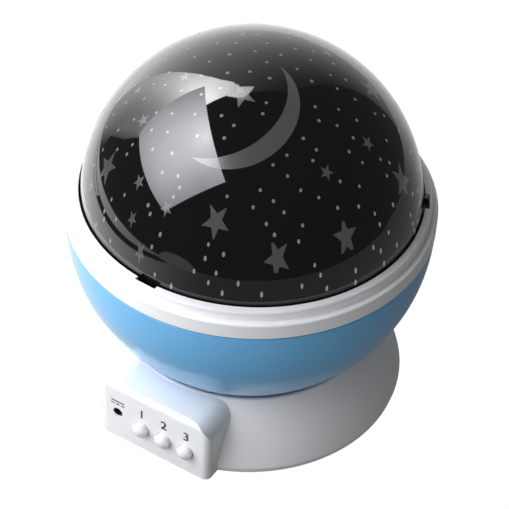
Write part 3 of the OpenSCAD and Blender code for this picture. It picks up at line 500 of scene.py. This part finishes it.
@dataclass
class StarDome:
    """Windows of the star mask, brought up to the outside of the dome.

    The clear wall bends light so that the printed layer fills the dome's whole
    outline. So the dome is shown black, with the mask's own windows lying on it.
    """

    library: MaterialLibrary
    nodes: dict[str, bpy.types.Object]
    lift: float = 0.02 * MM
    # The mask's mesh: points this close are one, and the outer face lies within the skin
    weld: float = 1.0 * UM
    skin: float = 0.06 * MM
    # An edge of the outer face is a window if it has some points and rises over the foot
    least_points: int = 6
    foot_margin: float = 1.0 * MM
    # A window nearer the pole than this sine of its angle has no east of its own
    at_pole: float = 1e-4
    # A window this round is a dot
    least_round: float = 0.8
    # Stars and crescent are cut finer until they follow the dome
    fine_edge: float = 1.0 * MM
    most_cuts: int = 6
    dot_sides: int = 20
    # The dots look smaller at the dome's foot than at its top
    dot_foot: float = 0.8
    dot_rise: float = 0.3
    dot_jitter: float = 0.1
    centre: Vector = field(init=False)
    radius: float = field(init=False)

    def __post_init__(self) -> None:
        """Takes the middle of the sphere and its outer radius from the CAD."""
        mask_low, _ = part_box("star_mask")
        _, dome_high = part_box("dome_shell")
        self.centre = Vector((0.0, 0.0, mask_low.z))
        self.radius = dome_high.z - mask_low.z

    def build(self) -> list[bpy.types.Object]:
        """Makes the stars and crescent as one piece and the dots as another.

        Returns:
            The two new objects.
        """
        loops = self._window_loops()
        dots = [w for w in loops if self._roundness(w) >= self.least_round]
        shapes = [w for w in loops if self._roundness(w) < self.least_round]
        log.info("%d dots, %d stars and crescent", len(dots), len(shapes))
        return [self._shapes(shapes), self._dots(dots)]

    def _window_loops(self) -> list[Outline]:
        """Follows the edges of the mask's outer face round each window.

        Returns:
            The windows' outlines, as closed rows of points.
        """
        bm = bmesh.new()
        bm.from_mesh(self.nodes["star_mask"].data)
        bmesh.ops.remove_doubles(bm, verts=bm.verts, dist=self.weld)
        reach = {v: (v.co - self.centre).length for v in bm.verts}
        outer_r = max(reach.values())
        outer = {f for f in bm.faces if min(reach[v] for v in f.verts) > outer_r - self.skin}
        follow: dict[bmesh.types.BMVert, list[bmesh.types.BMVert]] = defaultdict(list)
        for edge in bm.edges:
            if sum(f in outer for f in edge.link_faces) == 1:
                a, b = edge.verts
                follow[a].append(b)
                follow[b].append(a)
        least_z = self.centre.z + self.foot_margin
        loops, seen = [], set()
        for start in follow:
            if start in seen:
                continue
            loop, last, here = [], None, start
            while here is not None and here not in seen:
                seen.add(here)
                loop.append(here.co.copy())
                onward = [v for v in follow[here] if v is not last and v not in seen]
                last, here = here, onward[0] if onward else None
            if len(loop) >= self.least_points and max(p.z for p in loop) > least_z:
                loops.append(loop)
        bm.free()
        return loops

    def _frame(self, loop: Outline) -> Matrix:
        """Gives the axes at a window.

        Args:
            loop: The window's outline.

        Returns:
            East, up the meridian and outwards, as the columns of a matrix.
        """
        middle = sum(loop, Vector()) / len(loop)
        out = (middle - self.centre).normalized()
        east = UP.cross(out)
        east = east.normalized() if east.length > self.at_pole else Vector((1, 0, 0))
        return Matrix((east, out.cross(east), out)).transposed()

    def _flat(self, loop: Outline) -> Outline:
        """Gives an outline in the axes of its own window."""
        turn = self._frame(loop).transposed()
        return [turn @ (p - self.centre) for p in loop]

    @staticmethod
    def _extent(flat: Outline) -> tuple[list[float], list[float]]:
        """Gives the middle and the half size of a flat outline, each across and up."""
        ends = [(min(p[i] for p in flat), max(p[i] for p in flat)) for i in (0, 1)]
        return [(b + a) / 2 for a, b in ends], [(b - a) / 2 for a, b in ends]

    def _roundness(self, loop: Outline) -> float:
        """Tells a dot from a star or the crescent.

        Args:
            loop: The window's outline.

        Returns:
            Share of its own box that the outline keeps from the middle: 1 for an
            ellipse, less for any other shape.
        """
        flat = self._flat(loop)
        mid, half = self._extent(flat)
        return min(
            math.hypot((p.x - mid[0]) / half[0], (p.y - mid[1]) / half[1]) for p in flat
        )

    def _shapes(self, loops: list[Outline]) -> bpy.types.Object:
        """Fills the outlines of the stars and the crescent and lays them on the dome.

        Args:
            loops: The outlines.

        Returns:
            The new object.
        """
        bm = bmesh.new()
        for loop in loops:
            verts = [bm.verts.new(p) for p in loop]
            for tri in tessellate_polygon([self._flat(loop)]):
                if len(set(tri)) == 3:
                    bm.faces.new([verts[i] for i in tri])
        for _ in range(self.most_cuts):
            long = [e for e in bm.edges if e.calc_length() > self.fine_edge]
            if not long:
                break
            bmesh.ops.subdivide_edges(bm, edges=long, cuts=1)
            bmesh.ops.triangulate(bm, faces=bm.faces)
        for v in bm.verts:
            v.co = self.centre + (v.co - self.centre).normalized() * (self.radius + self.lift)
        for f in bm.faces:
            f.smooth = True
            f.normal_update()
            if f.normal.dot(f.calc_center_median() - self.centre) < 0:
                f.normal_flip()
        mesh = drawn_mesh("star_windows", bm)
        mesh.normals_split_custom_set_from_vertices(
            [(v.co - self.centre).normalized() for v in mesh.vertices]
        )
        return self._seat(mesh_object("star_windows", mesh, self.library.get(WINDOW)))

    def _dots(self, loops: list[Outline]) -> bpy.types.Object:
        """Places the dots by geometry nodes, on one point for each window of the mask.

        Args:
            loops: The dots' outlines.

        Returns:
            The new object.
        """
        places, turns, sizes = [], [], []
        for loop in loops:
            frame, flat = self._frame(loop), self._flat(loop)
            out = frame.col[2]
            grow = self.radius / flat[0].length * (self.dot_foot + self.dot_rise * out.z)
            places.append(self.centre + out * (self.radius + self.lift))
            turns.append(frame.to_euler())
            sizes.append([half * grow for half in self._extent(flat)[1]] + [1.0])
        points = bpy.data.meshes.new("dot_points")
        points.from_pydata(places, [], [])
        for name, rows in (("turn", turns), ("size", sizes)):
            layer = points.attributes.new(name, "FLOAT_VECTOR", "POINT")
            layer.data.foreach_set("vector", [c for row in rows for c in row])
        carrier = bpy.data.objects.new("dot_carrier", points)
        bpy.context.scene.collection.objects.link(carrier)
        material = self.library.get(DOT_WINDOW)
        modifier = carrier.modifiers.new("dots", "NODES")
        modifier.node_group = self._dot_tree()
        given = {
            "Sides": self.dot_sides, "Jitter": self.dot_jitter, "Seed": SEED,
            "Material": material,
        }
        for item in modifier.node_group.interface.items_tree:
            if item.in_out == "INPUT" and item.name in given:
                modifier[item.identifier] = given[item.name]
        graph = bpy.context.evaluated_depsgraph_get()
        mesh = bpy.data.meshes.new_from_object(carrier.evaluated_get(graph))
        bpy.data.objects.remove(carrier)
        return self._seat(mesh_object("dot_windows", mesh, material))

    @staticmethod
    def _dot_tree() -> bpy.types.NodeTree:
        """Builds the tree that puts a disc of its own size and turn on each point.

        Returns:
            The tree, with the discs' sides, the spread of their sizes, the seed of that
            spread and the material as named inputs.
        """
        tree = bpy.data.node_groups.new("dot_windows", "GeometryNodeTree")
        for name, way, kind in (
            ("Geometry", "OUTPUT", "NodeSocketGeometry"),
            ("Geometry", "INPUT", "NodeSocketGeometry"),
            ("Sides", "INPUT", "NodeSocketInt"),
            ("Jitter", "INPUT", "NodeSocketFloat"),
            ("Seed", "INPUT", "NodeSocketInt"),
            ("Material", "INPUT", "NodeSocketMaterial"),
        ):
            tree.interface.new_socket(name=name, in_out=way, socket_type=kind)
        given = add_node(tree, "NodeGroupInput").outputs
        disc = add_node(tree, "GeometryNodeMeshCircle", {
            "Vertices": given["Sides"], "Radius": 1.0,
        }, fill_type="NGON")
        turn, size = (
            add_node(
                tree, "GeometryNodeInputNamedAttribute", {"Name": name},
                data_type="FLOAT_VECTOR",
            ).outputs["Attribute"]
            for name in ("turn", "size")
        )
        least, most = (
            add_node(tree, "ShaderNodeMath", {0: 1.0, 1: given["Jitter"]}, operation=sign)
            for sign in ("SUBTRACT", "ADD")
        )
        chance = add_node(tree, "FunctionNodeRandomValue", {
            "Min": least.outputs[0], "Max": most.outputs[0], "Seed": given["Seed"],
        })
        scale = add_node(tree, "ShaderNodeVectorMath", {
            0: size, "Scale": chance.outputs["Value"],
        }, operation="SCALE")
        discs = add_node(tree, "GeometryNodeInstanceOnPoints", {
            "Points": given["Geometry"],
            "Instance": disc.outputs["Mesh"],
            "Rotation": turn,
            "Scale": scale.outputs["Vector"],
        })
        real = add_node(tree, "GeometryNodeRealizeInstances", {
            "Geometry": discs.outputs["Instances"],
        })
        paint = add_node(tree, "GeometryNodeSetMaterial", {
            "Geometry": real.outputs["Geometry"], "Material": given["Material"],
        })
        add_node(tree, "NodeGroupOutput", {"Geometry": paint.outputs["Geometry"]})
        return tree

    @staticmethod
    def _seat(obj: bpy.types.Object) -> bpy.types.Object:
        """Makes a piece move with the dome.

        Args:
            obj: The piece.

        Returns:
            The same piece.
        """
        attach(obj, "dome")
        return obj


@dataclass
class PanelMarks:
    """Plain numbers over the buttons and the sign for direct current over the socket."""

    library: MaterialLibrary
    buttons: tuple[int, ...] = (1, 2, 3)
    digit_size: float = 5.2 * MM
    bolder: float = 0.1 * MM
    digit_z: float = 17.2 * MM
    ink: float = 0.02 * MM
    sign_rise: float = 4.6 * MM
    sign_w: float = 5.4 * MM
    sign_t: float = 0.55 * MM
    sign_gap: float = 1.3 * MM

    def build(self) -> list[bpy.types.Object]:
        """Makes all marks as one thin mesh on the face of the control block.

        Returns:
            The new object, in a list.
        """
        low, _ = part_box("base_shell")
        bm = bmesh.new()
        for k in self.buttons:
            cap_low, cap_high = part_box(f"button_{k}")
            self._digit(bm, str(k), (cap_low.x + cap_high.x) / 2, low.y - self.ink)
        jack_low, jack_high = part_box("dc_jack")
        middle = (jack_low + jack_high) / 2
        self._sign(bm, middle.x, low.y - self.ink, middle.z + self.sign_rise)
        mesh = drawn_mesh("panel_marks", bm)
        obj = mesh_object("panel_marks", mesh, self.library.get(MARK_INK))
        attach(obj, "base")
        return [obj]

    def _digit(self, bm: bmesh.types.BMesh, text: str, x: float, y: float) -> None:
        """Adds one upright digit.

        Args:
            bm: The mesh that gets it.
            text: The digit.
            x: Place of its middle along the face.
            y: Place of the ink's surface.
        """
        curve = bpy.data.curves.new(f"digit_{text}", "FONT")
        curve.body = text
        curve.size = self.digit_size
        curve.offset = self.bolder
        curve.align_x = "CENTER"
        curve.align_y = "CENTER"
        holder = bpy.data.objects.new(f"digit_{text}", curve)
        bpy.context.scene.collection.objects.link(holder)
        graph = bpy.context.evaluated_depsgraph_get()
        mesh = bpy.data.meshes.new_from_object(holder.evaluated_get(graph))
        upright = Matrix.Rotation(math.pi / 2, 4, "X")
        mesh.transform(Matrix.Translation((x, y, self.digit_z)) @ upright)
        bm.from_mesh(mesh)
        bpy.data.objects.remove(holder)
        bpy.data.meshes.remove(mesh)

    def _sign(self, bm: bmesh.types.BMesh, x: float, y: float, z: float) -> None:
        """Adds the sign for direct current: a line over three dashes.

        Args:
            bm: The mesh that gets it.
            x: Place of its middle along the face.
            y: Place of the ink's surface.
            z: Height of its middle.
        """
        # Three dashes and two gaps of half a dash are as wide as the line
        dash = self.sign_w / 4
        pitch = 1.5 * dash
        rows = [(0.0, self.sign_w, self.sign_gap / 2)]
        rows += [(k * pitch, dash, -self.sign_gap / 2) for k in (-1, 0, 1)]
        for shift, width, rise in rows:
            half_w, half_t = width / 2, self.sign_t / 2
            corners = [(-half_w, -half_t), (half_w, -half_t), (half_w, half_t), (-half_w, half_t)]
            bm.faces.new([bm.verts.new((x + shift + a, y, z + rise + b)) for a, b in corners])


@dataclass(frozen=True)
class Camera:
    """The camera: high in front on the right, rolled a little, with a long lens."""

    place: Vector = Vector((257.3 * MM, -435.5 * MM, 516.2 * MM))
    heading: float = math.radians(30.36)
    pitch: float = math.radians(42.65)
    roll: float = math.radians(2.98)
    # Focal length and sensor width stay in millimetres, as Blender takes them
    lens: float = 141.45
    sensor: float = 36.0
    nearest: float = 0.01
    farthest: float = 20.0

    def build(self) -> list[bpy.types.Object]:
        """Adds the camera and makes it the scene's.

        Returns:
            The camera, in a list.
        """
        flat = Vector((-math.sin(self.heading), math.cos(self.heading), 0))
        ahead = flat * math.cos(self.pitch) - UP * math.sin(self.pitch)
        right = ahead.cross(UP).normalized()
        up = right.cross(ahead)
        side = right * math.cos(self.roll) + up * math.sin(self.roll)
        top = up * math.cos(self.roll) - right * math.sin(self.roll)
        data = bpy.data.cameras.new("camera")
        data.lens = self.lens
        data.sensor_width = self.sensor
        data.clip_start = self.nearest
        data.clip_end = self.farthest
        obj = bpy.data.objects.new("camera", data)
        bpy.context.scene.collection.objects.link(obj)
        turn = Matrix((side, top, -ahead)).transposed().to_4x4()
        obj.matrix_world = Matrix.Translation(self.place) @ turn
        bpy.context.scene.camera = obj
        return [obj]


@dataclass(frozen=True)
class Shade:
    """Dims a panel away from a direction.

    The share left of the light stays where the cosine to that direction is below start,
    and all of it where the cosine is above end.
    """

    azimuth: float
    elevation: float
    start: float
    end: float
    left: float


@dataclass(frozen=True)
class Lobe:
    """A broad fill light: its direction and its strength, which falls with the cosine."""

    azimuth: float
    elevation: float
    strength: float


@dataclass(frozen=True)
class Panel:
    """A flat light whose corners lie in given directions from the dome's middle.

    It falls off from high to low over reach degrees round its hot direction, as a lamp
    behind cloth does, and mottle is how cloudy the cloth is. Matt surfaces get its
    light times matt.
    """

    name: str
    corners: tuple[tuple[float, float], ...]
    facing: tuple[float, float]
    distance: float
    hot: tuple[float, float]
    high: float
    low: float
    reach: float
    falloff: float = 1.0
    mottle: float = 0.0
    matt: float = 1.0
    tint: tuple[float, float, float] = WHITE
    shades: tuple[Shade, ...] = ()


@dataclass
class Studio:
    """White paper on a round table, a card, two lights on the left and a dark room.

    Glossy surfaces mirror these as they are. Matt surfaces get the lights times a
    factor, and a fill from all round that no mirror shows. The camera sees through
    everything to the white.
    """

    middle: Vector = Vector((0, 0, 76.6 * MM))
    panels: tuple[Panel, ...] = (
        # Reflected as the bright four-sided patch on the dome's left
        Panel(
            "softbox", ((-168.3, 18.8), (161.8, 48.8), (-84.6, 46.6), (-117.4, 11.6)),
            facing=(-145.0, 38.0), distance=1.1, hot=(-134.0, 59.0), high=13.3, low=0.48,
            reach=75.0, falloff=1.9, mottle=0.12, matt=1.18, tint=(0.97, 0.993, 1.04),
            shades=(Shade(-149.0, -25.0, start=0.19, end=0.91, left=0.55),),
        ),
        # Reflected as the soft arc above that patch and the wide streak left of it
        Panel(
            "umbrella", ((155.5, 30.0), (153.5, 43.0), (149.5, 52.0),
                         (143.0, 57.5), (141.0, 62.5), (124.0, 64.0), (133.0, 69.5),
                         (143.0, 71.5), (150.0, 70.5), (160.0, 64.5), (177.0, 60.0),
                         (-162.0, 48.0), (-166.0, 19.0), (-173.0, 7.0), (-179.5, 0.0),
                         (175.0, -6.0), (175.0, -18.5), (156.0, -18.5)),
            facing=(165.0, 28.0), distance=1.35, hot=(180.0, 53.0), high=11.0, low=0.7,
            reach=132.0, falloff=6.0, mottle=0.15,
            shades=(Shade(78.0, 12.5, start=-0.11, end=0.21, left=0.5),
                    Shade(88.0, 38.0, start=-0.1, end=0.05, left=0.15)),
        ),
        # The paper where it rises behind the table, with a painted glow that falls off from its
        # hot direction
        Panel(
            "paper_sweep", ((78.0, -19.0), (157.0, -19.0), (157.0, 60.0), (130.0, 68.0),
                            (88.0, 60.0)),
            facing=(118.0, 15.0), distance=1.8, hot=(175.0, -19.0), high=1.74, low=0.11,
            reach=101.0, falloff=1.13,
        ),
    )
    cloud: float = 0.417
    cloud_detail: float = 3.0
    # The table stands as the camera looks: its paper runs away from the camera
    heading: float = Camera.heading
    table_r: float = 0.38
    rim_step: int = 3
    paper_left: float = 0.246
    paper_gap: float = 0.028
    gap_end: float = 0.07
    paper_right: float = 0.42
    paper_far: float = 1.6
    # The paper's painted light and shade: its glow grows with the cosine to its bright side,
    # between these two cosines, and under the object, which covers this radius, with the place
    # itself
    bright_side: float = 165.0
    dim_until: float = -0.5
    bright_from: float = 1.15
    dimmest: float = 0.15
    brightest: float = 1.08
    covered: float = 0.055
    paper_matt: float = 1.3
    # The card's direction is in degrees
    card_side: float = -100.0
    card_away: float = 0.34
    card_half_w: float = 0.07
    card_h: float = 0.046
    card_steps: int = 24
    card_glow: float = 0.36
    # What the camera and what mirrors see of the room, and what matt surfaces get of it
    backdrop: float = 1.02
    room: float = 0.06
    fill: float = 0.078
    lobes: tuple[Lobe, ...] = (
        Lobe(-125.0, -20.0, 1.36), Lobe(-100.0, 0.0, 0.34), Lobe(100.0, 0.0, 0.06),
    )

    def build(self) -> list[bpy.types.Object]:
        """Adds the table, the lights and the surroundings.

        Returns:
            The staged objects.
        """
        pieces = [self._table(), self._card()]
        pieces += [self._panel(p) for p in self.panels]
        self._room()
        return pieces

    def _spot(self, side: float, back: float) -> Vector:
        """A place on the table, by how far it lies to the camera's right and behind."""
        c, s = math.cos(self.heading), math.sin(self.heading)
        return Vector((side * c - back * s, side * s + back * c, 0.0))

    def _table(self) -> bpy.types.Object:
        """Makes a round table with paper on it, whose left edge leaves a dark line.

        Returns:
            The new object.
        """
        turn = [math.radians(a) for a in range(0, 360, self.rim_step)]
        rim = [(self.table_r * math.cos(a), self.table_r * math.sin(a)) for a in turn]
        main = [p for p in rim if p[0] > -self.paper_left and p[1] < 0]
        main = sorted(main, key=lambda p: math.atan2(p[1], p[0]))
        main += [(self.paper_right, 0.0), (self.paper_right, self.paper_far),
                 (-self.paper_left, self.paper_far)]
        edge = self.paper_left + self.paper_gap
        rest = [p for p in rim if p[0] < -edge]
        join = [(-edge, self.gap_end), (-self.paper_left, self.gap_end),
                (-self.paper_left, self.table_r), (-edge, self.table_r)]
        bm = bmesh.new()
        for outline in (main, rest, join):
            bm.faces.new([bm.verts.new(self._spot(*p)) for p in outline])
        for face in bm.faces:
            face.normal_update()
            if face.normal.z < 0:
                face.normal_flip()
        return mesh_object("table", drawn_mesh("table", bm), self._paper())

    def _card(self) -> bpy.types.Object:
        """Makes a rounded card that stands in front on the left; the dome mirrors it.

        Returns:
            The new object.
        """
        foot = towards(self.card_side, 0.0) * self.card_away
        across = UP.cross(foot).normalized()
        turn = (math.pi * k / self.card_steps for k in range(self.card_steps + 1))
        bm = bmesh.new()
        bm.faces.new([
            bm.verts.new(
                foot + across * self.card_half_w * math.cos(a) + UP * self.card_h * math.sin(a)
            )
            for a in turn
        ])
        material = bpy.data.materials.new("card")
        self._shine(empty_tree(material), self.card_glow, self.paper_matt)
        return mesh_object("card", drawn_mesh("card", bm), material)

    @staticmethod
    def _shine(
        tree: bpy.types.NodeTree,
        strength: float | bpy.types.NodeSocket,
        matt: float,
        tint: tuple[float, float, float] = WHITE,
    ) -> None:
        """Ends a tree as a glow that the camera sees through.

        Args:
            tree: The material's tree.
            strength: How bright mirrors see it, as a number or an output.
            matt: How much brighter it shines on matt surfaces.
            tint: Its colour.
        """
        path = add_node(tree, "ShaderNodeLightPath").outputs
        gain = add_node(tree, "ShaderNodeMapRange", {
            "Value": path["Is Glossy Ray"], "To Min": matt, "To Max": 1.0,
        })
        level = add_node(tree, "ShaderNodeMath", {
            0: strength, 1: gain.outputs["Result"],
        }, operation="MULTIPLY")
        glow = add_node(tree, "ShaderNodeEmission", {
            "Color": (*tint, 1.0), "Strength": level.outputs[0],
        })
        clear = add_node(tree, "ShaderNodeBsdfTransparent")
        mix = add_node(tree, "ShaderNodeMixShader", {
            "Fac": path["Is Camera Ray"], 1: glow.outputs["Emission"], 2: clear.outputs["BSDF"],
        })
        add_node(tree, "ShaderNodeOutputMaterial", {"Surface": mix.outputs["Shader"]})

    def _paper(self) -> bpy.types.Material:
        """Paints light and shade on the paper: brighter to the left and rear, darker towards
        front and right, standing in for the lights' fall-off and the shadow the night light casts.

        Returns:
            The new material.
        """
        material = bpy.data.materials.new("paper_painted_light")
        tree = empty_tree(material)
        place = add_node(tree, "ShaderNodeTexCoord").outputs["Object"]
        far = add_node(tree, "ShaderNodeVectorMath", {0: place}, operation="LENGTH")
        least = add_node(tree, "ShaderNodeMath", {
            0: far.outputs["Value"], 1: self.covered,
        }, operation="MAXIMUM")
        way = add_node(tree, "ShaderNodeVectorMath", {
            0: place, 1: least.outputs[0],
        }, operation="DIVIDE")
        lean = add_node(tree, "ShaderNodeVectorMath", {
            0: way.outputs["Vector"], 1: towards(self.bright_side, 0.0),
        }, operation="DOT_PRODUCT")
        ramp = add_node(tree, "ShaderNodeMapRange", {
            "Value": lean.outputs["Value"],
            "From Min": self.dim_until, "From Max": self.bright_from,
            "To Min": self.dimmest, "To Max": self.brightest,
        }, interpolation_type="SMOOTHSTEP")
        self._shine(tree, ramp.outputs["Result"], self.paper_matt)
        return material

    def _panel(self, panel: Panel) -> bpy.types.Object:
        """Makes a panel on the plane that it faces.

        Args:
            panel: The panel.

        Returns:
            The new object.
        """
        normal = towards(*panel.facing)
        bm = bmesh.new()
        for azimuth, elevation in panel.corners:
            ray = towards(azimuth, elevation)
            bm.verts.new(self.middle + ray * (panel.distance / ray.dot(normal)))
        bm.faces.new(bm.verts)
        bmesh.ops.triangulate(bm, faces=bm.faces)
        return mesh_object(panel.name, drawn_mesh(panel.name, bm), self._cloth(panel))

    def _cloth(self, panel: Panel) -> bpy.types.Material:
        """Lets the glow fall off with the angle from the panel's hot direction.

        Args:
            panel: The panel.

        Returns:
            The new material.
        """
        material = bpy.data.materials.new(panel.name)
        tree = empty_tree(material)
        place = add_node(tree, "ShaderNodeTexCoord").outputs["Object"]
        away = add_node(tree, "ShaderNodeVectorMath", {
            0: place, 1: self.middle,
        }, operation="SUBTRACT")
        ray = add_node(tree, "ShaderNodeVectorMath", {
            0: away.outputs["Vector"],
        }, operation="NORMALIZE").outputs["Vector"]
        lean = add_node(tree, "ShaderNodeVectorMath", {
            0: ray, 1: towards(*panel.hot),
        }, operation="DOT_PRODUCT")
        angle = add_node(tree, "ShaderNodeMath", {0: lean.outputs["Value"]}, operation="ARCCOSINE")
        near = add_node(tree, "ShaderNodeMapRange", {
            "Value": angle.outputs[0], "From Max": math.radians(panel.reach),
            "To Min": 1.0, "To Max": 0.0,
        })
        shape = add_node(tree, "ShaderNodeMath", {
            0: near.outputs["Result"], 1: panel.falloff,
        }, operation="POWER")
        level = add_node(tree, "ShaderNodeMath", {
            0: shape.outputs[0], 1: panel.high - panel.low, 2: panel.low,
        }, operation="MULTIPLY_ADD")
        cloud = add_node(tree, "ShaderNodeTexNoise", {
            "Vector": place, "Scale": 1 / self.cloud, "Detail": self.cloud_detail,
        })
        patch = add_node(tree, "ShaderNodeMath", {
            0: cloud.outputs["Fac"], 1: 2 * panel.mottle, 2: 1 - panel.mottle,
        }, operation="MULTIPLY_ADD")
        glow = add_node(tree, "ShaderNodeMath", {
            0: level.outputs[0], 1: patch.outputs[0],
        }, operation="MULTIPLY")
        for shade in panel.shades:
            side = add_node(tree, "ShaderNodeVectorMath", {
                0: ray, 1: towards(shade.azimuth, shade.elevation),
            }, operation="DOT_PRODUCT")
            dim = add_node(tree, "ShaderNodeMapRange", {
                "Value": side.outputs["Value"],
                "From Min": shade.start, "From Max": shade.end,
                "To Min": shade.left, "To Max": 1.0,
            }, interpolation_type="SMOOTHSTEP")
            glow = add_node(tree, "ShaderNodeMath", {
                0: glow.outputs[0], 1: dim.outputs["Result"],
            }, operation="MULTIPLY")
        self._shine(tree, glow.outputs[0], panel.matt, panel.tint)
        return material

    def _room(self) -> None:
        """Makes a world that is white to the camera, dark in mirrors and a fill elsewhere."""
        world = bpy.data.worlds.new("room")
        bpy.context.scene.world = world
        tree = empty_tree(world)
        path = add_node(tree, "ShaderNodeLightPath").outputs
        dim = add_node(tree, "ShaderNodeMix", {
            "Factor": path["Is Glossy Ray"], "A": self._fill(tree), "B": self.room,
        })
        lit, seen = (
            add_node(tree, "ShaderNodeBackground", {
                "Color": (*WHITE, 1.0), "Strength": strength,
            }).outputs["Background"]
            for strength in (dim.outputs["Result"], self.backdrop)
        )
        mix = add_node(tree, "ShaderNodeMixShader", {
            "Fac": path["Is Camera Ray"], 1: lit, 2: seen,
        })
        add_node(tree, "ShaderNodeOutputWorld", {"Surface": mix.outputs["Shader"]})

    def _fill(self, tree: bpy.types.NodeTree) -> bpy.types.NodeSocket:
        """Adds up the walls' even glow and the broad lobes.

        Args:
            tree: The world's tree.

        Returns:
            The output that carries the sum.
        """
        place = add_node(tree, "ShaderNodeTexCoord").outputs["Generated"]
        total: float | bpy.types.NodeSocket = self.fill
        for lobe in self.lobes:
            lean = add_node(tree, "ShaderNodeVectorMath", {
                0: place, 1: towards(lobe.azimuth, lobe.elevation),
            }, operation="DOT_PRODUCT")
            front = add_node(tree, "ShaderNodeMath", {
                0: lean.outputs["Value"], 1: 0.0,
            }, operation="MAXIMUM")
            total = add_node(tree, "ShaderNodeMath", {
                0: front.outputs[0], 1: lobe.strength, 2: total,
            }, operation="MULTIPLY_ADD").outputs[0]
        return total


def main() -> None:
    """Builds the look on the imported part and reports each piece."""
    logging.basicConfig(level=logging.INFO)
    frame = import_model()
    library = MaterialLibrary()
    for maker in (
        CadFinishes(library, frame["nodes"], frame["record"]),
        StarDome(library, frame["nodes"]),
        PanelMarks(library),
        Camera(),
        Studio(),
    ):
        for piece in maker.build():
            log.info("%s: %s", type(maker).__name__, piece.name)
    bpy.context.scene.view_settings.view_transform = "Standard"
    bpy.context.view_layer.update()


if __name__ == "__main__":
    main()
